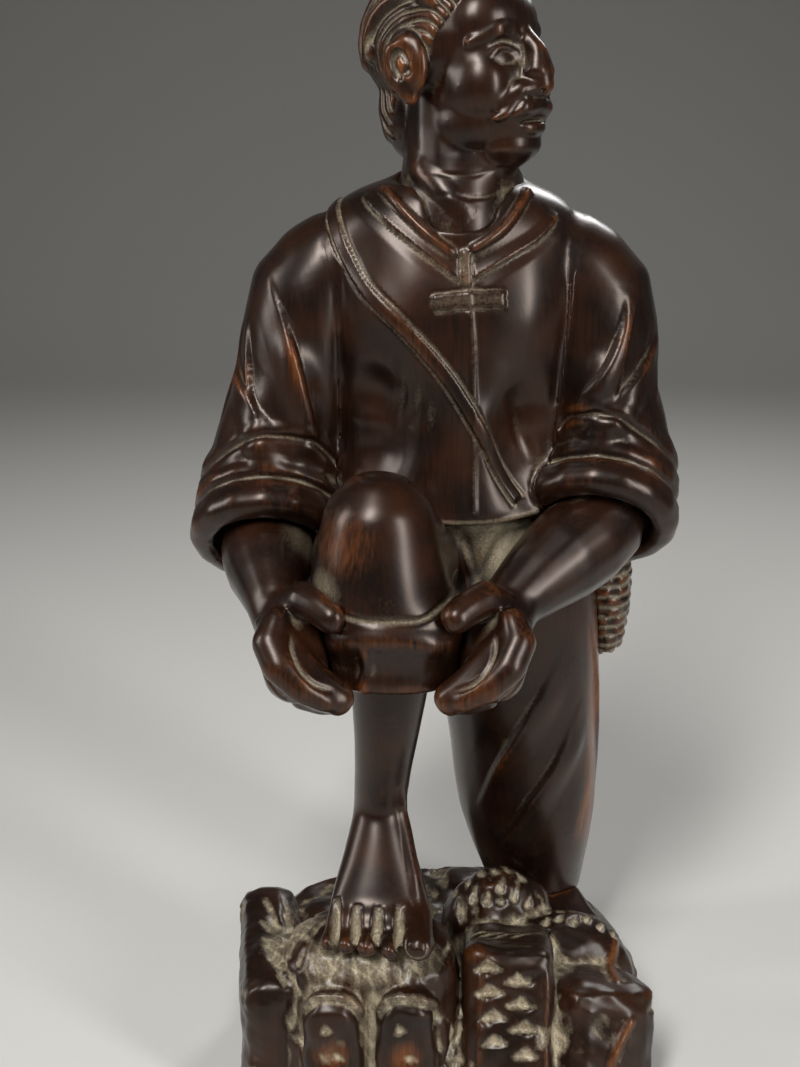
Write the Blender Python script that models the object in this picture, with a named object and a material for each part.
"""A carved boxwood figure: a man with one bare foot on a rock, rolling up that trouser leg with both hands.

The figure is pieced. Each limb is carved from its own blank, seated in its neighbour with a thin glue gap,
and held there by a round peg in a bored hole. Metres, +Z up. The figure faces -Y, and the origin is the
centre of the base's underside. Right and left are the figure's own, so its right hand is at -X.
"""

import math

import bmesh
import bpy
from mathutils import Euler, Matrix, Vector

# Fits
GLUE_GAP = 0.0003
PEG_RADIUS = 0.0018
PEG_GAP = 0.0003
PEG_DEPTH = 0.008

# Base, a heap of rocks on one block
BASE_WIDTH = 0.087
BASE_DEPTH = 0.086
BASE_HEIGHT = 0.014
PLINTH_SQUARE = 3.0
UNDER_TRIM = 0.002
STEP_RISE = 0.026
STEP_WIDTH = 0.039
STEP_DEPTH = 0.046
STEP_SETBACK = 0.003
HEEL_REST_WIDTH = 0.015
STONE_WIDTH = 0.0132
STONE_SPACING = 0.0146
STONE_DROP = 0.006
SLAB_WIDTH = 0.013
SLAB_DEPTH = 0.040
SLAB_RISE = 0.0185
PANEL_WIDTH = 0.0185
PANEL_DEPTH = 0.026
PANEL_HEIGHT = 0.032
FAN_WIDTH = 0.022
FAN_DEPTH = 0.030
FAN_HEIGHT = 0.024
MOUND_WIDTH = 0.037
MOUND_RISE = 0.0155
ROCK_BEVEL = 0.0045
PANEL_LEAN = (math.radians(-20), 0, math.radians(-4))
BITE_WIDTH = 0.0038
BITE_DEPTH = 0.0011

# Standing leg and the trousers
STAND_X = 0.023
STAND_Y = 0.021
STAND_TURN = math.radians(14)
LEG_LENGTH = 0.112
ANKLE_CUFF_RISE = 0.006
ANKLE_CUFF_WIDTH = 0.0205
TROUSER_CALF_WIDTH = 0.0315
TROUSER_KNEE_WIDTH = 0.0345
HIP_WIDTH = 0.053
HIP_DEPTH = 0.040
WAIST_WIDTH = 0.044
WAIST_DEPTH = 0.034

# Bare feet
FOOT_LENGTH = 0.036
FOOT_WIDTH = 0.0225
INSTEP_HEIGHT = 0.016
TOE_LENGTH = 0.0085
TOE_SETBACK = 0.002

# Raised leg
STEP_FOOT_X = -0.0135
STEP_FOOT_TURN = math.radians(-3)
SHIN_LENGTH = 0.060
SHIN_LEAN = 0.006
ANKLE_WIDTH = 0.0108
CALF_WIDTH = 0.0165
KNEE_WIDTH = 0.0272
KNEE_RISE = 0.019
THIGH_WIDTH = 0.031
ROLL_WALL = 0.00575
ROLL_HEIGHT = 0.0165
ROLL_SOCKET = 0.012
ROLL_DROP = 0.0138
ROLL_SHIFT = 0.003

# Shirt
TORSO_X = 0.001
TORSO_Y = 0.013
TORSO_LENGTH = 0.066
SHIRT_WALL = 0.005
HEM_DROP = 0.0065
CHEST_WIDTH = 0.055
CHEST_DEPTH = 0.040
SHOULDER_DROP = 0.0190
STRAP_WIDTH = 0.0036
STRAP_RISE = 0.0009
HOLLOW_DEPTH = 0.0022
COLLAR_WALL = 0.00475
COLLAR_HEIGHT = 0.006
COLLAR_SLOPE = math.radians(31)

# Head
NECK_WIDTH = 0.0215
NECK_LENGTH = 0.010
NECK_SEAT = 0.010
NECK_SHIFT = 0.001
HEAD_HEIGHT = 0.037
HEAD_WIDTH = 0.028
HEAD_LENGTH = 0.034
LOCK_RISE = 0.0006
HEAD_TURN = math.radians(52)
HEAD_TILT = math.radians(6)

# Arms
SHOULDER_SPAN = 0.055
SLEEVE_WIDTH = 0.025
RIGHT_ELBOW_SPREAD = 0.010
RIGHT_ELBOW_DROP = 0.0445
LEFT_ELBOW_SPREAD = 0.005
LEFT_ELBOW_DROP = 0.040
ELBOW_FORWARD = 0.004
CUFF_FORWARD = 0.0100
CUFF_DIP = 0.0088
CUFF_WALL = 0.0045
CUFF_LENGTH = 0.016
CUFF_MOUTH = 0.0019
FOLD_WIDTH = 0.0075
FOLD_RISE = 0.0011
CUFF_MOUTH_DEPTH = 0.005
FOREARM_WIDTH = 0.0192
WRIST_WIDTH = 0.012
FINGER_WIDTH = 0.0066
THUMB_WIDTH = 0.0074

# Bag at the left hip
BAG_WIDTH = 0.013
BAG_DEPTH = 0.024
BAG_HEIGHT = 0.030

# Colours, linear: stained boxwood polished by handling, dusty boxwood on the rocks, and raw bamboo pegs
POLISHED_WOOD = (0.052, 0.019, 0.009, 1.0)
DUSTY_WOOD = (0.095, 0.062, 0.040, 1.0)
BAMBOO = (0.43, 0.29, 0.13, 1.0)

# Directions
UP = Vector((0, 0, 1))
ACROSS = Vector((1, 0, 0))
BACK = Vector((0, 1, 0))

# Sizes of what goes round something else
ROLL_WIDTH = CALF_WIDTH + 2 * ROLL_WALL
COLLAR_WIDTH = NECK_WIDTH + 2 * COLLAR_WALL
CUFF_WIDTH = FOREARM_WIDTH + 2 * (CUFF_MOUTH + CUFF_WALL)

# Places that follow from the sizes, from the base up
FRONT = -BASE_DEPTH / 2
GROUND = BASE_HEIGHT
STEP_TOP = GROUND + STEP_RISE
STEP_X = STEP_FOOT_X - TOE_SETBACK
PANEL_X = STEP_X + (STEP_WIDTH + PANEL_WIDTH) / 2
PANEL = Vector((PANEL_X, FRONT + 0.7 * PANEL_DEPTH, 0.55 * PANEL_HEIGHT))
STAND_ANKLE = Vector((STAND_X, STAND_Y, GROUND + ANKLE_CUFF_RISE))
WAIST = Vector((TORSO_X, TORSO_Y, GROUND + LEG_LENGTH))
HIP_SIDE = WAIST + Vector((-HIP_WIDTH / 5, 0, -HIP_DEPTH / 2))
HEM = WAIST - UP * HEM_DROP
NECK_BASE = HEM + Vector((NECK_SHIFT, -NECK_SHIFT, TORSO_LENGTH))
SHOULDER_Z = NECK_BASE.z - SHOULDER_DROP
HEAD_CENTRE = NECK_BASE + UP * (NECK_LENGTH + HEAD_HEIGHT / 3)
TOE_TIPS = Vector((STEP_FOOT_X, FRONT + TOE_SETBACK, STEP_TOP))
STEP_ANKLE = TOE_TIPS + Vector((0, 0.72 * FOOT_LENGTH, INSTEP_HEIGHT))
KNEE = STEP_ANKLE + Vector((0, -SHIN_LEAN, SHIN_LENGTH))
ROLL = KNEE + Vector((ROLL_SHIFT, 0, -ROLL_DROP))
ROLL_EDGE = ROLL_WIDTH / 2
SHIN_TOP = ROLL - UP * (ROLL_HEIGHT / 2 - ROLL_SOCKET)
BAG = WAIST + Vector((STAND_X - TORSO_X + HIP_WIDTH / 4, HIP_DEPTH / 3, -BAG_HEIGHT - 2 * HEM_DROP))


def shoulder(side):
    """Centre of the shoulder's ball. side is -1 for the figure's right arm and 1 for its left."""
    return Vector((TORSO_X + side * SHOULDER_SPAN / 2, TORSO_Y, SHOULDER_Z))


def elbow(side):
    """Middle of the sleeve just above the rolled cuff."""
    spread = RIGHT_ELBOW_SPREAD if side < 0 else LEFT_ELBOW_SPREAD
    drop = RIGHT_ELBOW_DROP if side < 0 else LEFT_ELBOW_DROP
    return shoulder(side) + Vector((side * spread, -ELBOW_FORWARD, -drop))


def cuff_end(side):
    """Centre of the cuff's mouth, in front of the elbow. The left cuff also turns in."""
    inward = 0 if side < 0 else LEFT_ELBOW_SPREAD / 2
    return elbow(side) + Vector((-inward, -CUFF_FORWARD, -CUFF_DIP))


def cuff_way(side):
    """The way that the forearm leaves the cuff."""
    return (cuff_end(side) - elbow(side)).normalized()


def arm_socket(side):
    """Where the forearm's round end sits inside the sleeve."""
    return elbow(side).lerp(cuff_end(side), 0.3)


def wrist(side):
    """Wrist beside the rolled hem that the hand grips."""
    return ROLL + Vector((side * (ROLL_EDGE + 0.75 * WRIST_WIDTH), 0.25 * WRIST_WIDTH, 0.42 * WRIST_WIDTH))


def palm(side):
    """Middle of the hand, against the side of the rolled hem."""
    return ROLL + Vector((side * (ROLL_EDGE + 0.46 * WRIST_WIDTH), -0.33 * WRIST_WIDTH, -0.08 * WRIST_WIDTH))


# Modelling tools


def smooth_between(before, start, end, after, share):
    """A Catmull-Rom curve's value between start and end, for numbers or vectors."""
    cubic = (start * 3 - before - end * 3 + after) * share**3
    square = (before * 2 - start * 5 + end * 4 - after) * share**2
    return start + (cubic + square + (end - before) * share) / 2


def stations(sections, steps):
    """The sections with smooth ones added between them."""
    last = len(sections) - 1
    found = []
    for i in range(last):
        around = [sections[min(max(k, 0), last)] for k in (i - 1, i, i + 1, i + 2)]
        for step in range(steps):
            found.append([smooth_between(*values, step / steps) for values in zip(*around)])
    found.append(list(sections[last]))
    return found


def directions(points, normal):
    """The way that the loft runs at each station, or one fixed normal."""
    if normal is not None:
        return [normal] * len(points)
    last = len(points) - 1
    return [(points[min(i + 1, last)] - points[max(i - 1, 0)]).normalized() for i in range(last + 1)]


def domed(ring, length):
    """Shrinking rings that close one end of a loft as a dome. A negative length runs back from the ring."""
    centre, wide, deep, along = ring
    made = []
    for angle in (math.radians(38), math.radians(68)):
        shrink = math.cos(angle)
        made.append((centre + along * length * math.sin(angle), wide * shrink, deep * shrink, along))
    return made


def loft(sections, side=ACROSS, normal=None, sides=16, steps=2, grow=0.0, domes=(0, 0), square=2.0):
    """A closed body through sections of (centre, half width, half depth), bridged ring by ring.

    grow makes the body larger all round, for the recess that it seats in. square is the ring's exponent: 2 is
    an ellipse, and a larger one nears a rectangle.
    """
    found = stations(sections, steps)
    along = directions([s[0] for s in found], normal)
    rings = [(s[0], s[1] + grow, s[2] + grow, way) for s, way in zip(found, along)]
    start = domed(rings[0], -domes[0] - grow)[::-1] if domes[0] else []
    end = domed(rings[-1], domes[1] + grow) if domes[1] else []
    if not start:
        centre, wide, deep, way = rings[0]
        rings[0] = (centre - way * grow, wide, deep, way)
    if not end:
        centre, wide, deep, way = rings[-1]
        rings[-1] = (centre + way * grow, wide, deep, way)
    return bridged(start + rings + end, side, sides, square)


def bridged(rings, side, sides, square):
    """One object whose skin runs through the rings, with both ends capped."""
    shape = bmesh.new()
    loops = []
    for i, (centre, wide, deep, way) in enumerate(rings):
        across = (side - way * side.dot(way)).normalized()
        depth = way.cross(across)
        capped = i in (0, len(rings) - 1)
        ring = bmesh.ops.create_circle(shape, cap_ends=capped, segments=sides, radius=1.0)["verts"]
        for vert in ring:
            u, v = (math.copysign(abs(c) ** (2 / square), c) for c in vert.co.xy)
            vert.co = centre + across * (u * wide) + depth * (v * deep)
        loops.append({edge for vert in ring for edge in vert.link_edges})
    for first, second in zip(loops, loops[1:]):
        bmesh.ops.bridge_loops(shape, edges=list(first | second))
    bmesh.ops.recalc_face_normals(shape, faces=shape.faces)
    return as_object(shape)


def ball(centre, radii, grow=0.0, frame=None, detail=14):
    """An ellipsoid, turned by frame about its own centre."""
    shape = bmesh.new()
    bmesh.ops.create_uvsphere(shape, u_segments=detail, v_segments=max(8, detail * 2 // 3), radius=1.0)
    size = Matrix.Diagonal((*(r + grow for r in radii), 1))
    shape.transform(Matrix.Translation(centre) @ (frame or Matrix.Identity(4)) @ size)
    return as_object(shape)


def block(centre, size, turn=(0, 0, 0), bevel=ROCK_BEVEL):
    """A box with rounded edges, turned about its centre."""
    shape = bmesh.new()
    bmesh.ops.create_cube(shape, size=1.0)
    bmesh.ops.scale(shape, vec=size, verts=shape.verts)
    limited = min(bevel, min(size) / 3)
    bmesh.ops.bevel(shape, geom=shape.edges, offset=limited, segments=2, profile=0.5, affect="EDGES")
    spin = Euler(turn, "XYZ").to_matrix().to_4x4()
    shape.transform(Matrix.Translation(centre) @ spin)
    return as_object(shape)


def rod(start, end, radius, sides=12):
    """A plain round rod between two points."""
    shape = bmesh.new()
    length = (end - start).length
    bmesh.ops.create_cone(shape, cap_ends=True, segments=sides, radius1=radius, radius2=radius, depth=length)
    turn = (end - start).to_track_quat("Z", "Y").to_matrix().to_4x4()
    shape.transform(Matrix.Translation((start + end) / 2) @ turn)
    return as_object(shape)


def as_object(shape):
    """A new object in the scene that takes over the bmesh."""
    mesh = bpy.data.meshes.new("form")
    shape.to_mesh(mesh)
    shape.free()
    made = bpy.data.objects.new("form", mesh)
    bpy.context.scene.collection.objects.link(made)
    return made


def combine(body, others, operation):
    """Joins the others to the body, or cuts them out of it, in one exact step, and removes them."""
    tools = bpy.data.collections.new("tools")
    bpy.context.scene.collection.children.link(tools)
    for other in others:
        tools.objects.link(other)
    modifier = body.modifiers.new(operation.lower(), "BOOLEAN")
    modifier.operation = operation
    modifier.operand_type = "COLLECTION"
    modifier.collection = tools
    modifier.solver = "EXACT"
    modifier.use_self = True
    graph = bpy.context.evaluated_depsgraph_get()
    result = bpy.data.meshes.new_from_object(body.evaluated_get(graph))
    body.modifiers.clear()
    body.data = result
    for other in others:
        bpy.data.objects.remove(other)
    bpy.data.collections.remove(tools)
    return body


def joined(*forms):
    """The forms as one body."""
    return combine(forms[0], forms[1:], "UNION")


def cut(body, *forms):
    """Cuts the forms out of the body, and drops the small chips that come loose."""
    combine(body, forms, "DIFFERENCE")
    shape = bmesh.new()
    shape.from_mesh(body.data)
    for chip in loose_islands(shape)[:-1]:
        bmesh.ops.delete(shape, geom=list(chip), context="VERTS")
    shape.to_mesh(body.data)
    shape.free()
    return body


def loose_islands(shape):
    """The sets of connected vertices, smallest first."""
    left = set(shape.verts)
    found = []
    while left:
        reached = set()
        to_visit = [left.pop()]
        while to_visit:
            vert = to_visit.pop()
            reached.add(vert)
            near = {edge.other_vert(vert) for edge in vert.link_edges} & left
            left -= near
            to_visit += near
        found.append(reached)
    return sorted(found, key=len)


# Forms of the lower figure. Each takes grow, which makes the recess that the form seats in.


def ridge(places, thick, side):
    """A long fold that lies half in the cloth through the places, thin at both ends."""
    last = len(places) - 1
    rows = []
    for i, place in enumerate(places):
        half = thick / 2 * (0.35 if i in (0, last) else 1)
        rows.append((place, half, half))
    return loft(rows, side=side, sides=8, domes=(0.1 * thick, 0.1 * thick))


def between_rows(rows, z):
    """The middle and half sizes at a height, between the two rows next to it."""
    for (low, wide, deep), (high, next_wide, next_deep) in zip(rows, rows[1:]):
        if z <= high.z:
            share = (z - low.z) / (high.z - low.z)
            return low.lerp(high, share), wide + share * (next_wide - wide), deep + share * (next_deep - deep)
    return rows[-1]


def trouser_rows():
    leg = WAIST.z - STAND_ANKLE.z
    lean = (STAND_ANKLE - WAIST) / leg
    calf_half, knee_half, hip_half = TROUSER_CALF_WIDTH / 2, TROUSER_KNEE_WIDTH / 2, HIP_WIDTH / 2
    rows = [
        (STAND_ANKLE, ANKLE_CUFF_WIDTH / 2, ANKLE_CUFF_WIDTH / 2),
        (WAIST + lean * 0.78 * leg + ACROSS * 0.02 * leg, calf_half, 0.95 * calf_half),
        (WAIST + lean * 0.54 * leg + ACROSS * 0.05 * leg, knee_half, 0.93 * knee_half),
        (WAIST + lean * 0.32 * leg + ACROSS * 0.06 * leg, 0.75 * hip_half, 0.45 * HIP_DEPTH),
        (WAIST + lean * 0.17 * leg, hip_half, 0.5 * HIP_DEPTH),
        (WAIST, WAIST_WIDTH / 2, WAIST_DEPTH / 2),
    ]
    return rows


def trouser_leg(grow=0.0):
    """Hips and the standing leg in one, from the ankle cuff to the waist under the shirt."""
    return loft(trouser_rows(), normal=UP, sides=18, steps=3, grow=grow)


def trouser_folds():
    """Slanting folds of the standing leg, as (share of the leg's height, degrees round from the front)."""
    routes = (
        ((0.68, 48), (0.55, 18), (0.40, -22), (0.26, -50)),
        ((0.56, 78), (0.43, 40), (0.29, 0), (0.16, -30)),
        ((0.60, 140), (0.47, 175), (0.33, 215), (0.20, 245)),
    )
    made = []
    for stops in routes:
        places = []
        for share, degrees in stops:
            z = STAND_ANKLE.z + share * (WAIST.z - STAND_ANKLE.z)
            middle, wide, deep = between_rows(trouser_rows(), z)
            sunk = FOLD_RISE - FOLD_WIDTH / 2
            turn = math.radians(degrees)
            aside, ahead = (wide + sunk) * math.sin(turn), (deep + sunk) * math.cos(turn)
            places.append(middle + Vector((aside, -ahead, 0)))
        made.append(ridge(places, FOLD_WIDTH, BACK))
    return made


def thigh(grow=0.0):
    """Trouser thigh from the hip to the bent knee."""
    half = THIGH_WIDTH / 2
    rows = [
        (HIP_SIDE, half, half),
        (HIP_SIDE.lerp(KNEE, 0.5), 0.94 * half, 0.94 * half),
        (KNEE + BACK * 0.1 * KNEE_WIDTH, KNEE_WIDTH / 2, KNEE_WIDTH / 2),
    ]
    return loft(rows, grow=grow, domes=(0.2 * half, 0.3 * half))


def knee(grow=0.0):
    """Tight cloth over the bent knee, a smooth egg that stands on the rolled hem."""
    half = KNEE_WIDTH / 2
    foot_of_knee = ROLL - ACROSS * 0.5 * ROLL_SHIFT
    rows = [
        (foot_of_knee, half, half),
        (foot_of_knee.lerp(KNEE, 0.5), 1.03 * half, 1.03 * half),
        (KNEE + UP * 0.1 * KNEE_RISE, 0.93 * half, 0.93 * half),
    ]
    return loft(rows, normal=UP, sides=18, grow=grow, domes=(0, 0.9 * KNEE_RISE))


def roll(grow=0.0):
    """Trouser hem rolled into a thick band below the knee."""
    tall = ROLL_HEIGHT / 2
    rows = [
        (ROLL - UP * tall, 0.84 * ROLL_EDGE, 0.84 * ROLL_EDGE),
        (ROLL - UP * 0.7 * tall, 0.98 * ROLL_EDGE, 0.97 * ROLL_EDGE),
        (ROLL, ROLL_EDGE, 0.98 * ROLL_EDGE),
        (ROLL + UP * 0.7 * tall, 0.97 * ROLL_EDGE, 0.97 * ROLL_EDGE),
        (ROLL + UP * tall, 0.88 * ROLL_EDGE, 0.88 * ROLL_EDGE),
    ]
    return loft(rows, normal=UP, sides=18, steps=1, grow=grow, square=2.5)


def shin(grow=0.0):
    """Bare shin from the ankle up into the rolled hem's socket."""
    calf, ankle = CALF_WIDTH / 2, ANKLE_WIDTH / 2
    rows = [
        (STEP_ANKLE - UP * 0.5 * INSTEP_HEIGHT, 1.2 * ankle, 1.35 * ankle),
        (STEP_ANKLE + UP * 0.1 * SHIN_LENGTH, ankle, 1.15 * ankle),
        (STEP_ANKLE.lerp(SHIN_TOP, 0.45), 0.78 * calf, 0.86 * calf),
        (STEP_ANKLE.lerp(SHIN_TOP, 0.8), calf, calf),
        (SHIN_TOP, 0.97 * calf, 0.97 * calf),
    ]
    return loft(rows, normal=UP, sides=14, grow=grow)


def foot(place, grow=0.0):
    """Instep and sole from the heel to the ball of the toes, in the foot's own frame, toes at -Y."""
    half, tall = FOOT_WIDTH / 2, INSTEP_HEIGHT / 2
    length = FOOT_LENGTH - TOE_LENGTH
    rows = [
        (Vector((0, length, 0.72 * tall)), 0.42 * half, 0.72 * tall),
        (Vector((0, 0.62 * length, tall)), 0.56 * half, tall),
        (Vector((0, 0.30 * length, 0.72 * tall)), 0.80 * half, 0.72 * tall),
        (Vector((0, 0, 0.45 * tall)), 0.96 * half, 0.45 * tall),
    ]
    body = loft(rows, normal=-BACK, sides=14, grow=grow, domes=(0.3 * half, 0.2 * half))
    body.data.transform(place)
    return body


def instep():
    """High instep of the raised foot: a wedge that slopes and widens from the ankle to the roots of the toes."""
    half, ankle = FOOT_WIDTH / 2, ANKLE_WIDTH / 2
    top = STEP_ANKLE + Vector((0, -1.1 * ankle, 0.42 * INSTEP_HEIGHT))
    roots = TOE_TIPS + Vector((0, 0.86 * TOE_LENGTH, 0.28 * INSTEP_HEIGHT))
    out = (roots - top).cross(ACROSS).normalized()
    rows = []
    for share, wide, deep in ((0, 0.50, 0.46), (0.33, 0.66, 0.46), (0.67, 0.85, 0.40), (1, 0.98, 0.26)):
        rows.append((top.lerp(roots, share) - out * deep * half, wide * half, deep * half))
    return loft(rows, side=ACROSS, sides=14, domes=(0.5 * ankle, 0.1 * half))


def toes(place, big_side, grow=0.0):
    """Five toes on the ball of the foot. big_side is the side of the big toe, 1 for a right foot."""
    shares = (0.71, 0.23, -0.19, -0.56, -0.86)
    thickness = (0.140, 0.100, 0.104, 0.096, 0.082)
    made = []
    for i, (share, thick) in enumerate(zip(shares, thickness)):
        x = big_side * share * FOOT_WIDTH / 2
        half = thick * FOOT_WIDTH
        reach = TOE_LENGTH * (1 - 0.1 * i)
        root = Vector((0.9 * x, 0.5 * TOE_LENGTH, 1.3 * half))
        tip = Vector((x, half - reach, half))
        rows = [(root, half, half), (root.lerp(tip, 0.5), 0.95 * half, 0.95 * half), (tip, half, 0.92 * half)]
        toe = loft(rows, normal=-BACK, sides=8, steps=1, grow=grow, domes=(0.3 * half, half))
        toe.data.transform(place)
        made.append(toe)
    return made


def step_foot_place():
    """Where the raised foot stands on the rock."""
    turn = Matrix.Rotation(STEP_FOOT_TURN, 4, "Z")
    return Matrix.Translation(TOE_TIPS + BACK * TOE_LENGTH) @ turn


def stand_foot_place():
    """Where the standing foot is, under the trouser cuff and turned out a little."""
    turn = Matrix.Rotation(STAND_TURN, 4, "Z")
    ball_to_ankle = Matrix.Translation(-BACK * 0.62 * (FOOT_LENGTH - TOE_LENGTH))
    return Matrix.Translation((STAND_X, STAND_Y, GROUND)) @ turn @ ball_to_ankle


def bag(grow=0.0):
    """Woven bag that hangs on the strap at the left hip."""
    rows = [
        (BAG, 0.40 * BAG_WIDTH, 0.42 * BAG_DEPTH),
        (BAG + UP * 0.35 * BAG_HEIGHT, 0.5 * BAG_WIDTH, 0.5 * BAG_DEPTH),
        (BAG + UP * 0.75 * BAG_HEIGHT, 0.46 * BAG_WIDTH, 0.46 * BAG_DEPTH),
        (BAG + UP * BAG_HEIGHT, 0.38 * BAG_WIDTH, 0.38 * BAG_DEPTH),
    ]
    domes = (0.23 * BAG_WIDTH, 0.15 * BAG_WIDTH)
    return loft(rows, normal=UP, grow=grow, domes=domes, square=2.6)


# Forms of the shirt and the arms


def torso_rows():
    hem_wide, hem_deep = WAIST_WIDTH / 2 + SHIRT_WALL, WAIST_DEPTH / 2 + SHIRT_WALL
    chest_wide, chest_deep = CHEST_WIDTH / 2, CHEST_DEPTH / 2
    rows = [
        (0.0, hem_wide, hem_deep),
        (0.18, hem_wide - 0.4 * SHIRT_WALL, hem_deep - 0.3 * SHIRT_WALL),
        (0.42, 0.93 * chest_wide, chest_deep),
        (0.62, 0.98 * chest_wide, chest_deep),
        (0.79, chest_wide, 0.88 * chest_deep),
        (0.89, 0.94 * chest_wide, 0.78 * chest_deep),
        (0.96, 0.74 * chest_wide, 0.68 * chest_deep),
        (1.0, 0.5 * chest_wide, 0.6 * chest_deep),
    ]
    return [(HEM + UP * share * TORSO_LENGTH, wide, deep) for share, wide, deep in rows]


def torso(grow=0.0):
    """Shirt body from the flared hem to the shoulders."""
    return loft(torso_rows(), normal=UP, sides=22, grow=grow)


def on_torso(across, share, side):
    """A place on the shirt, in half chest widths across and shares of its height, before (-1) or behind."""
    middle, wide, deep = between_rows(torso_rows(), HEM.z + share * TORSO_LENGTH)
    x = across * CHEST_WIDTH / 2
    y = side * deep * math.sqrt(max(0, 1 - (x / wide) ** 2))
    return middle + Vector((x, y, 0))


def strap(grow=0.0):
    """The bag's strap, from the right shoulder across the chest to the left hip."""
    stops = ((-0.84, 0.83), (-0.66, 0.731), (-0.386, 0.616), (-0.08, 0.475), (0.149, 0.329), (0.495, 0.063))
    return strap_band(stops, -1, grow)


def back_strap(grow=0.0):
    """The same strap, from the right shoulder across the back."""
    stops = ((-0.84, 0.83), (-0.52, 0.64), (-0.1, 0.42), (0.32, 0.20), (0.60, 0.05))
    return strap_band(stops, 1, grow)


def strap_band(stops, side, grow):
    half, deep = STRAP_WIDTH / 2, 2 * STRAP_RISE
    sunk = BACK * side * (STRAP_RISE - deep)
    rows = [(on_torso(across, share, side) + sunk, deep, half) for across, share in stops]
    return loft(rows, side=BACK, sides=8, grow=grow, domes=(0.2 * half, 0.2 * half), square=3.0)


def hollows():
    """What is scooped out of the chest beside each arm."""
    made = []
    for across, share in ((-0.56, 0.30), (0.62, 0.27)):
        radii = (0.25 * CHEST_WIDTH, 0.2 * CHEST_DEPTH, 0.27 * TORSO_LENGTH)
        place = on_torso(across, share, -1)
        out = Vector((0.5 * across, -1, 0)).normalized()
        frame = Matrix.Rotation(math.atan2(out.x, -out.y), 4, "Z")
        made.append(ball(place + out * (radii[1] - HOLLOW_DEPTH), radii, frame=frame, detail=16))
    return made


def collar(grow=0.0):
    """Band collar that slopes from the nape down to the throat."""
    slope = Matrix.Rotation(COLLAR_SLOPE, 3, "X") @ UP
    low = NECK_BASE + Vector((0, -0.13 * COLLAR_WIDTH / 2, -1.1 * COLLAR_HEIGHT))
    half = COLLAR_WIDTH / 2
    rows = [
        (low - slope * 0.7 * COLLAR_HEIGHT, 1.13 * half, 1.2 * half),
        (low, 1.06 * half, 1.06 * half),
        (low + slope * COLLAR_HEIGHT, 0.87 * half, 0.87 * half),
    ]
    return loft(rows, normal=slope, sides=18, steps=1, grow=grow)


def sleeve(side, grow=0.0):
    """Shirt sleeve from the shoulder to the elbow, with the rolled cuff's solid core."""
    top, bend, end = shoulder(side), elbow(side), cuff_end(side)
    half = SLEEVE_WIDTH / 2
    rows = [
        (top + Vector((-side * 0.52 * half, 0, 0.28 * half)), 0.88 * half, 0.88 * half),
        (top + Vector((side * 0.08 * half, 0, -0.32 * half)), 1.02 * half, 1.02 * half),
        (top.lerp(bend, 0.45), 0.98 * half, 0.96 * half),
        (top.lerp(bend, 0.75), 1.06 * half, 1.08 * half),
        (bend, 1.12 * half, 1.14 * half),
        (bend.lerp(end, 0.5), 0.9 * CUFF_WIDTH / 2, 0.9 * CUFF_WIDTH / 2),
    ]
    return loft(rows, side=BACK, grow=grow, domes=(0.7 * half, 0))


def sleeve_folds(side):
    """Long folds that sweep down the sleeve, as (share of the way to the elbow, degrees to the front)."""
    if side < 0:
        routes = (
            ((0.06, 62), (0.30, 84), (0.60, 108), (0.92, 138)),
            ((0.45, 28), (0.66, 62), (0.86, 92), (1.0, 118)),
            ((0.12, -40), (0.40, -75), (0.70, -105), (0.95, -135)),
        )
    else:
        routes = (
            ((0.22, 70), (0.42, 86), (0.62, 112), (0.80, 142)),
            ((0.38, 38), (0.58, 66), (0.76, 100), (0.90, 130)),
            ((0.12, -40), (0.40, -75), (0.70, -105), (0.95, -135)),
        )
    top, bend = shoulder(side), elbow(side)
    made = []
    for stops in routes:
        places = []
        for share, degrees in stops:
            turn = math.radians(degrees)
            out = ACROSS * side * math.cos(turn) - BACK * math.sin(turn)
            surface = SLEEVE_WIDTH / 2 * (0.99 + 0.13 * share)
            places.append(top.lerp(bend, share) + out * (surface + FOLD_RISE - FOLD_WIDTH / 2))
        made.append(ridge(places, FOLD_WIDTH, BACK))
    return made


def cuff(side, grow=0.0):
    """Sleeve end rolled up into fat rings at the elbow."""
    end, way = cuff_end(side), cuff_way(side)
    half = CUFF_WIDTH / 2
    first = ((1.30, 0.80), (1.16, 0.915), (1.0, 0.935), (0.88, 0.875))
    second = ((0.76, 0.965), (0.56, 0.975), (0.44, 0.905))
    rings = (*first, *second, (0.32, 1.0), (0.12, 1.02), (0.0, 0.945))
    rows = [(end - way * back * CUFF_LENGTH, share * half, share * half) for back, share in rings]
    return loft(rows, side=BACK, steps=1, grow=grow, domes=(0.07 * half, 0.05 * half))


def forearm(side, grow=0.0):
    """Bare forearm from inside the cuff to the wrist."""
    end, tip = cuff_end(side), wrist(side)
    half, thin = FOREARM_WIDTH / 2, WRIST_WIDTH / 2
    rows = [
        (arm_socket(side), 0.9 * half, 0.9 * half),
        (end, half, half),
        (end.lerp(tip, 0.45), 0.96 * half, 0.94 * half),
        (tip, thin, thin),
        (palm(side), thin, thin),
    ]
    return loft(rows, side=UP, sides=14, grow=grow, domes=(0.3 * half, 0.5 * thin))


def cuff_mouth(side):
    """The dark gap between the forearm and the cuff's rim."""
    end, way = cuff_end(side), cuff_way(side)
    half = FOREARM_WIDTH / 2
    rings = ((-1, 0.5), (0, 1.0), (1, 1.5))
    rows = []
    for depth, width in rings:
        wide = half + width * CUFF_MOUTH
        rows.append((end + way * depth * CUFF_MOUTH_DEPTH, wide, wide))
    return loft(rows, side=BACK, steps=1)


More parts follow.
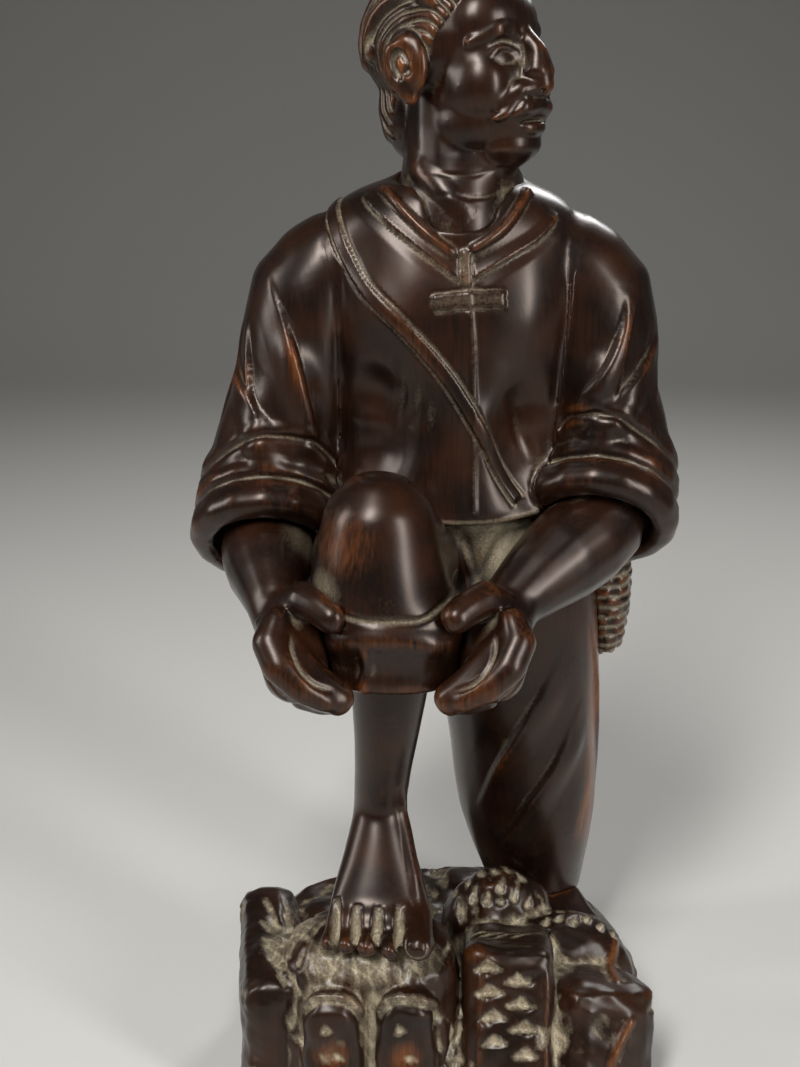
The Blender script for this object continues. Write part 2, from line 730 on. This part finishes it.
def hand_back(side):
    """Back of the hand, outside the rolled hem."""
    middle, size = palm(side), WRIST_WIDTH
    rows = [
        (middle + Vector((0, 0.25, 0.67)) * size, 0.42 * size, 0.5 * size),
        (middle + Vector((0, -0.08, 0.125)) * size, 0.58 * size, 0.77 * size),
        (middle + Vector((-side * 0.125, -0.08, -0.58)) * size, 0.57 * size, 0.73 * size),
    ]
    return loft(rows, normal=-UP, sides=12, domes=(0.17 * size, 0.25 * size))


def fingers(side):
    """Four fingers closed round the front and the underside of the rolled hem, index uppermost."""
    made = []
    size = FINGER_WIDTH
    for i in range(4):
        drop, tuck = i * 0.47 * size, i * 0.42 * size
        lead = 1 - i / 3
        out, high, low = (1.06 + 0.3 * lead) * size, (0.53 + 0.25 * lead) * size, (1.03 + 0.2 * lead) * size
        knuckle = Vector((ROLL_EDGE + out, tuck - 1.14 * size, high - drop))
        bend = Vector((ROLL_EDGE + 0.53 * size, tuck - ROLL_EDGE + 0.15 * size, -0.3 * size - drop))
        tip = Vector((ROLL_EDGE - (0.45 + 0.15 * lead) * size, tuck - ROLL_EDGE, -low - 0.55 * drop))
        for place in (knuckle, bend, tip):
            place.x *= side
        half = size / 2 * (1.15 - 0.07 * i)
        thin = 0.86 * half
        rows = [(ROLL + knuckle, half, half), (ROLL + bend, half, half), (ROLL + tip, thin, thin)]
        made.append(loft(rows, side=UP, sides=8, domes=(0.6 * half, 0.6 * half)))
    return made


def thumb(side):
    """Thumb laid along the top of the rolled hem."""
    size, top = THUMB_WIDTH, ROLL_HEIGHT / 2
    root = palm(side) + Vector((side * 0.14, 0, 0.81)) * size
    middle = ROLL + Vector((side * (ROLL_EDGE + 0.4 * size), -0.88 * size, top + 0.14 * size))
    tip = ROLL + Vector((side * (ROLL_EDGE - 0.4 * size), -1.6 * size, top - 0.14 * size))
    half = size / 2
    rows = [(root, half, half), (middle, half, half), (tip, 0.8 * half, 0.8 * half)]
    return loft(rows, side=UP, sides=8, domes=(0.55 * half, 0.55 * half))


# Forms of the head, in shares of its half width, half length and half height

SKULL_PLACE = (0, 0.14, 0.22)
SKULL_RADII = (1.0, 1.02, 0.78)


def head_frame():
    """Turns the head's own axes, face at -Y, to the way that the figure looks."""
    turn = Matrix.Rotation(HEAD_TURN, 4, "Z") @ Matrix.Rotation(-HEAD_TILT, 4, "X")
    return Matrix.Translation(HEAD_CENTRE) @ turn


def on_head(x, y, z):
    return head_frame() @ Vector((x * HEAD_WIDTH / 2, y * HEAD_LENGTH / 2, z * HEAD_HEIGHT / 2))


def head_ball(place, radii, grow=0.0, detail=14):
    sizes = (radii[0] * HEAD_WIDTH / 2, radii[1] * HEAD_LENGTH / 2, radii[2] * HEAD_HEIGHT / 2)
    return ball(on_head(*place), sizes, grow, head_frame().to_3x3().to_4x4(), detail)


def head_loft(rows, side):
    """A small feature through (x, y, z, half width, half depth) in shares of the head."""
    half = HEAD_WIDTH / 2
    sections = [(on_head(x, y, z), wide * half, deep * half) for x, y, z, wide, deep in rows]
    end = 0.07 * half
    return loft(sections, side=side, sides=8, steps=1, domes=(end, end))


def neck(grow=0.0):
    """Neck and the open throat, seated in the collar."""
    half = NECK_WIDTH / 2
    rows = [
        (NECK_BASE + Vector((0, -0.28 * half, -NECK_SEAT)), 1.1 * half, 1.2 * half),
        (NECK_BASE + Vector((0, -0.19 * half, -0.2 * NECK_SEAT)), half, 1.1 * half),
        (NECK_BASE + UP * NECK_LENGTH, half, half),
        (HEAD_CENTRE, half, half),
    ]
    return loft(rows, normal=UP, grow=grow)


def skull():
    return head_ball(SKULL_PLACE, SKULL_RADII, detail=16)


def locks():
    """The main locks of the hair, combed back from the brow over the crown to the nape."""
    wide, deep = 0.20, 0.13
    side = head_frame().to_3x3() @ ACROSS
    sunk = 1 - (deep * HEAD_WIDTH / 2 - LOCK_RISE) / (HEAD_LENGTH / 2)
    made = []
    for across in (-0.80, -0.42, 0, 0.42, 0.80):
        reach = sunk * math.sqrt(1 - across**2)
        rows = []
        for degrees in range(50, 195, 18):
            turn = math.radians(degrees)
            y = SKULL_PLACE[1] - SKULL_RADII[1] * reach * math.cos(turn)
            z = SKULL_PLACE[2] + SKULL_RADII[2] * reach * math.sin(turn)
            rows.append((sunk * across, y, z, wide, deep))
        made.append(head_loft(rows, side))
    return made


def nape():
    return head_ball((0, 0.52, -0.42), (0.72, 0.5, 0.62), detail=12)


def jaw(grow=0.0):
    return head_ball((0, -0.28, -0.33), (0.80, 0.70, 0.64), grow)


def chin():
    return head_ball((0, -0.62, -0.74), (0.40, 0.30, 0.25), detail=10)


def brow():
    return head_ball((0, -0.72, 0.20), (0.62, 0.20, 0.12), detail=10)


def ear(side):
    return head_ball((side, 0.10, -0.02), (0.14, 0.27, 0.32), detail=10)


def nose():
    rows = [
        (0, -0.88, 0.20, 0.11, 0.11),
        (0, -1.04, -0.02, 0.14, 0.16),
        (0, -1.10, -0.18, 0.23, 0.19),
        (0, -0.92, -0.24, 0.24, 0.17),
    ]
    return head_loft(rows, head_frame().to_3x3() @ ACROSS)


def moustache():
    rows = [
        (-0.52, -0.78, -0.50, 0.07, 0.07),
        (-0.28, -0.96, -0.38, 0.14, 0.12),
        (0, -1.0, -0.33, 0.14, 0.12),
        (0.28, -0.96, -0.38, 0.14, 0.12),
        (0.52, -0.78, -0.50, 0.07, 0.07),
    ]
    return head_loft(rows, UP)


# Forms of the base


def boulder(x, front, wide, deep, top):
    """A rock that stands on the base, with a rounded top and its front face at front."""
    rows = [
        (Vector((x, front + 0.50 * deep, UNDER_TRIM)), 0.50 * wide, 0.50 * deep),
        (Vector((x, front + 0.49 * deep, 0.50 * top)), 0.49 * wide, 0.48 * deep),
        (Vector((x, front + 0.48 * deep, 0.87 * top)), 0.44 * wide, 0.42 * deep),
    ]
    return loft(rows, normal=UP, steps=1, domes=(0, 0.13 * top), square=3.2)


def step_rocks():
    """What the raised foot stands on, and the two upright stones before it."""
    heel_front = STEP_ANKLE.y - 0.3 * FOOT_LENGTH
    heel_top = STEP_TOP + 0.1 * INSTEP_HEIGHT
    stone_top = STEP_TOP - STONE_DROP
    made = [
        boulder(STEP_X, FRONT + STEP_SETBACK, STEP_WIDTH, 0.62 * STEP_DEPTH, STEP_TOP),
        boulder(STEP_X, FRONT + STEP_SETBACK, STEP_WIDTH, STEP_DEPTH, 0.72 * STEP_TOP),
        boulder(STEP_ANKLE.x, heel_front, HEEL_REST_WIDTH, 0.64 * FOOT_LENGTH, heel_top),
    ]
    for share in (-0.5, 0.5):
        made.append(boulder(STEP_X + share * STONE_SPACING, FRONT, STONE_WIDTH, STONE_WIDTH, stone_top))
    return made


def side_rocks():
    """The slab on the right of the foot, the panel and the fan on its left, and the mounds behind."""
    slab_height = GROUND + SLAB_RISE - UNDER_TRIM
    slab_x = (SLAB_WIDTH - BASE_WIDTH) / 2
    slab_place = Vector((slab_x, FRONT + 0.65 * SLAB_DEPTH, UNDER_TRIM + slab_height / 2))
    fan_place = Vector((BASE_WIDTH / 2 - 0.66 * FAN_WIDTH, FRONT + 0.7 * FAN_DEPTH, 0.52 * FAN_HEIGHT))
    behind = Vector((TORSO_X - 0.35 * MOUND_WIDTH, TORSO_Y, 0.43 * GROUND))
    return [
        block(slab_place, (SLAB_WIDTH, SLAB_DEPTH, slab_height), turn=(0, 0, math.radians(6))),
        block(PANEL, (PANEL_WIDTH, PANEL_DEPTH, PANEL_HEIGHT), turn=PANEL_LEAN, bevel=0.6 * ROCK_BEVEL),
        block(
            fan_place, (FAN_WIDTH, FAN_DEPTH, FAN_HEIGHT),
            turn=(math.radians(-16), math.radians(12), math.radians(20)),
        ),
        *(ball(middle, radii) for middle, radii in mounds()),
        ball(behind, (0.6 * MOUND_WIDTH, 0.5 * MOUND_WIDTH, 0.7 * MOUND_RISE)),
    ]


def mounds():
    """The middles and radii of the near and the far mound under the standing foot."""
    half = MOUND_WIDTH / 2
    near = Vector((STAND_X + 0.1 * half, -0.38 * half, GROUND))
    far = Vector((STAND_X - 0.54 * half, 0.05 * half, GROUND))
    return (near, (half, 0.65 * half, MOUND_RISE)), (far, (0.8 * half, 0.6 * half, 1.4 * MOUND_RISE))


def pebbles():
    """Low stones bedded in the ground behind the feet."""
    behind = ((-0.20, 0.62, 0.085), (0.16, 0.74, 0.095), (-0.58, 0.42, 0.10))
    beside = ((0.66, 0.02, 0.08), (-0.62, -0.02, 0.07))
    made = []
    for x, y, share in (*behind, *beside):
        radius = share * BASE_WIDTH
        middle = Vector((x * BASE_WIDTH / 2, y * BASE_DEPTH / 2, GROUND - 0.15 * radius))
        made.append(ball(middle, (radius, 0.8 * radius, 0.4 * radius), detail=10))
    return made


def bite(place, out, tall=1.0):
    """What a gouge takes from a face at place, where the face looks out."""
    frame = out.to_track_quat("Z", "Y").to_matrix().to_4x4()
    half = BITE_WIDTH / 2
    return ball(place + out * BITE_DEPTH, (half, tall * half, 2 * BITE_DEPTH), frame=frame, detail=8)


def panel_bites():
    """Two zigzag columns of bites down the sloping panel."""
    lean = Euler(PANEL_LEAN, "XYZ").to_matrix()
    made = []
    for row in range(3):
        for across, up in ((-0.24, 0.38), (0.20, 0.33)):
            corner = Vector((across * PANEL_WIDTH, -PANEL_DEPTH / 2, (up - 0.16 * row) * PANEL_HEIGHT))
            made.append(bite(PANEL + lean @ corner, lean @ -BACK))
    return made


def mound_bites():
    """Rows of bites over the tops of the mounds."""
    near = ((0.10, 0.30), (0.45, 0.30), (0.72, 0.20))
    far = ((-0.55, -0.10), (-0.15, -0.20), (0.25, -0.20), (0.60, -0.20), (-0.40, -0.55), (0.0, -0.55))
    made = []
    for (middle, radii), places in zip(mounds(), (near, far)):
        for x, y in places:
            z = math.sqrt(1 - x * x - y * y)
            place = middle + Vector((x * radii[0], y * radii[1], z * radii[2]))
            out = Vector((x / radii[0], y / radii[1], z / radii[2])).normalized()
            made.append(bite(place, out))
    return made


def wall_bites():
    """Bites round the sides and the back of the plinth, high and low by turns."""
    made = []
    for step in range(11):
        turn = math.radians(15 + 15 * step)
        across, back = math.cos(turn), math.sin(turn)
        x = math.copysign(abs(across) ** (2 / PLINTH_SQUARE), across) * BASE_WIDTH / 2
        y = back ** (2 / PLINTH_SQUARE) * BASE_DEPTH / 2
        place = Vector((x, y, (0.34, 0.58)[step % 2] * BASE_HEIGHT))
        out = Vector((math.copysign(x * x, x), y * y, 0)).normalized()
        made.append(bite(place, out, tall=1.5))
    return made


def plinth():
    """The block under the rocks, left a little long below for the saw cut."""
    half_wide, half_deep = BASE_WIDTH / 2, BASE_DEPTH / 2
    chamfer = 0.35 * BASE_HEIGHT
    rows = [
        (Vector((0, 0, -UNDER_TRIM)), half_wide, half_deep),
        (Vector((0, 0, 0.6 * BASE_HEIGHT)), half_wide, half_deep),
        (Vector((0, 0, BASE_HEIGHT)), half_wide - chamfer, half_deep - chamfer),
    ]
    return loft(rows, normal=UP, sides=28, steps=1, square=PLINTH_SQUARE)


def saw_cut():
    """What the saw takes off below, so that the base stands flat."""
    size = (2 * BASE_WIDTH, 2 * BASE_DEPTH, BASE_HEIGHT)
    return block(Vector((0, 0, -BASE_HEIGHT / 2)), size, bevel=UNDER_TRIM / 10)


# Pegs, each from one piece into the next


def peg_lines():
    """Each peg's name and its two ends."""
    neck_seat = NECK_BASE - UP * NECK_SEAT
    hip_way = (KNEE - HIP_SIDE).normalized()
    hip_seat = HIP_SIDE + hip_way * 0.6 * THIGH_WIDTH
    sole = Vector((STEP_ANKLE.x, STEP_ANKLE.y, STEP_TOP))
    heel = Vector((STAND_X, STAND_Y, GROUND))
    bag_way = Vector((-1, -0.25, 0)).normalized()
    bag_seat = BAG + Vector((-BAG_WIDTH / 3, 0, 0.4 * BAG_HEIGHT))
    lines = {
        "neck_peg": (neck_seat - UP * PEG_DEPTH, neck_seat + UP * PEG_DEPTH),
        "waist_peg": (WAIST - UP * PEG_DEPTH, WAIST + UP * PEG_DEPTH),
        "hip_peg": (hip_seat - hip_way * PEG_DEPTH, hip_seat + hip_way * PEG_DEPTH),
        "knee_peg": (SHIN_TOP - UP * PEG_DEPTH, SHIN_TOP + UP * PEG_DEPTH),
        "raised_foot_peg": (sole - UP * PEG_DEPTH, sole + UP * PEG_DEPTH),
        "standing_leg_peg": (heel - UP * PEG_DEPTH, heel + UP * (ANKLE_CUFF_RISE + 2 * PEG_DEPTH)),
        "bag_peg": (bag_seat + bag_way * PEG_DEPTH, bag_seat - bag_way * PEG_DEPTH / 2),
    }
    for side, name in ((-1, "right"), (1, "left")):
        armhole = Vector((TORSO_X + side * CHEST_WIDTH / 2, TORSO_Y, SHOULDER_Z))
        out = ACROSS * side * PEG_DEPTH
        lines[name + "_shoulder_peg"] = (armhole - out, armhole + out)
        way = cuff_way(side)
        socket = arm_socket(side) - way * 0.3 * FOREARM_WIDTH / 2
        lines[name + "_elbow_peg"] = (socket - way * PEG_DEPTH, socket + way * PEG_DEPTH)
    return lines


PEGS = peg_lines()


def peg(name):
    """A round peg, a little shorter and thinner than its hole."""
    start, end = PEGS[name]
    way = (end - start).normalized()
    return rod(start + way * PEG_GAP, end - way * PEG_GAP, PEG_RADIUS)


def holes(*names):
    """The bores for these pegs."""
    return [rod(*PEGS[name], PEG_RADIUS + PEG_GAP) for name in names]


# Pieces, each cut clear of the ones that it meets


def seats(*forms):
    """The recesses that these neighbours sit in."""
    return [form(grow=GLUE_GAP) for form in forms]


def make_base():
    body = joined(plinth(), *step_rocks(), *side_rocks(), *pebbles())
    stand, step = stand_foot_place(), step_foot_place()
    feet = [foot(stand, GLUE_GAP), *toes(stand, -1, GLUE_GAP), foot(step, GLUE_GAP), *toes(step, 1, GLUE_GAP)]
    bores = holes("raised_foot_peg", "standing_leg_peg")
    bites = [*panel_bites(), *mound_bites(), *wall_bites()]
    return cut(body, *feet, *seats(trouser_leg, shin), saw_cut(), *bores, *bites)


def make_trousers():
    body = joined(trouser_leg(), *trouser_folds())
    return cut(body, *holes("standing_leg_peg", "waist_peg", "hip_peg", "bag_peg"))


def make_standing_foot():
    place = stand_foot_place()
    body = joined(foot(place), *toes(place, -1))
    return cut(body, *seats(trouser_leg), *holes("standing_leg_peg"))


def make_raised_foot():
    place = step_foot_place()
    body = joined(foot(place), *toes(place, 1), shin(), instep())
    return cut(body, *holes("raised_foot_peg", "knee_peg"))


def make_thigh():
    body = joined(thigh(), knee(), roll())
    return cut(body, *seats(trouser_leg, torso, shin), *holes("hip_peg", "knee_peg"))


def make_shirt():
    body = joined(torso(), collar(), strap(), back_strap())
    bores = holes("neck_peg", "waist_peg", "right_shoulder_peg", "left_shoulder_peg")
    return cut(body, *seats(trouser_leg, neck, jaw), *hollows(), *bores)


def make_sleeve(side, name):
    body = joined(sleeve(side), cuff(side), *sleeve_folds(side))
    neighbours = seats(torso, collar, strap, back_strap, thigh, knee, trouser_leg)
    opening = [forearm(side, GLUE_GAP), cuff_mouth(side)]
    return cut(body, *neighbours, *opening, *holes(name + "_shoulder_peg", name + "_elbow_peg"))


def make_forearm(side, name):
    body = joined(forearm(side), hand_back(side), thumb(side), *fingers(side))
    neighbours = seats(roll, knee, thigh, shin, torso, trouser_leg)
    return cut(body, *neighbours, *holes(name + "_elbow_peg"))


def make_head():
    face = [jaw(), chin(), nose(), brow(), moustache()]
    body = joined(skull(), nape(), *locks(), *face, ear(-1), ear(1), neck())
    return cut(body, *holes("neck_peg"))


def make_bag():
    neighbours = [*seats(trouser_leg, torso), sleeve(1, GLUE_GAP), cuff(1, GLUE_GAP)]
    return cut(bag(), *neighbours, *holes("bag_peg"))


# Scene


def wood(name, colour, roughness):
    material = bpy.data.materials.new(name)
    material.use_nodes = True
    shader = material.node_tree.nodes["Principled BSDF"]
    shader.inputs["Base Color"].default_value = colour
    shader.inputs["Roughness"].default_value = roughness
    shader.inputs["Metallic"].default_value = 0.0
    return material


def place_piece(name, body, material, holder, origin):
    """Names the piece, puts its own origin where its peg seats it, and hangs it on the figure's empty."""
    body.name = name
    body.data.name = name
    body.data.transform(Matrix.Translation(-origin))
    body.data.materials.clear()
    body.data.materials.append(material)
    body.data.shade_smooth()
    body.data.set_sharp_from_angle(angle=math.radians(40))
    for collection in list(body.users_collection):
        collection.objects.unlink(body)
    bpy.data.collections["carved_figure"].objects.link(body)
    body.location = origin
    body.parent = holder


def main():
    for old in list(bpy.data.objects):
        bpy.data.objects.remove(old)
    collection = bpy.data.collections.new("carved_figure")
    bpy.context.scene.collection.children.link(collection)
    holder = bpy.data.objects.new("figure_frame", None)
    collection.objects.link(holder)
    polished = wood("polished_boxwood", POLISHED_WOOD, 0.32)
    dusty = wood("dusty_boxwood", DUSTY_WOOD, 0.6)
    bamboo = wood("bamboo", BAMBOO, 0.7)
    pieces = {
        "rock_base": (make_base(), dusty, Vector((0, 0, 0))),
        "trousers": (make_trousers(), polished, PEGS["standing_leg_peg"][1]),
        "standing_foot": (make_standing_foot(), polished, PEGS["standing_leg_peg"][0]),
        "raised_foot": (make_raised_foot(), polished, PEGS["raised_foot_peg"][0]),
        "thigh_and_hem": (make_thigh(), polished, PEGS["hip_peg"][0]),
        "shirt_body": (make_shirt(), polished, PEGS["waist_peg"][0]),
        "right_sleeve": (make_sleeve(-1, "right"), polished, PEGS["right_shoulder_peg"][0]),
        "left_sleeve": (make_sleeve(1, "left"), polished, PEGS["left_shoulder_peg"][0]),
        "right_forearm": (make_forearm(-1, "right"), polished, PEGS["right_elbow_peg"][0]),
        "left_forearm": (make_forearm(1, "left"), polished, PEGS["left_elbow_peg"][0]),
        "head": (make_head(), polished, PEGS["neck_peg"][0]),
        "hip_bag": (make_bag(), polished, PEGS["bag_peg"][0]),
    }
    for name in PEGS:
        pieces[name] = (peg(name), bamboo, PEGS[name][0])
    for name, (body, material, origin) in pieces.items():
        place_piece(name, body, material, holder, origin)


main()
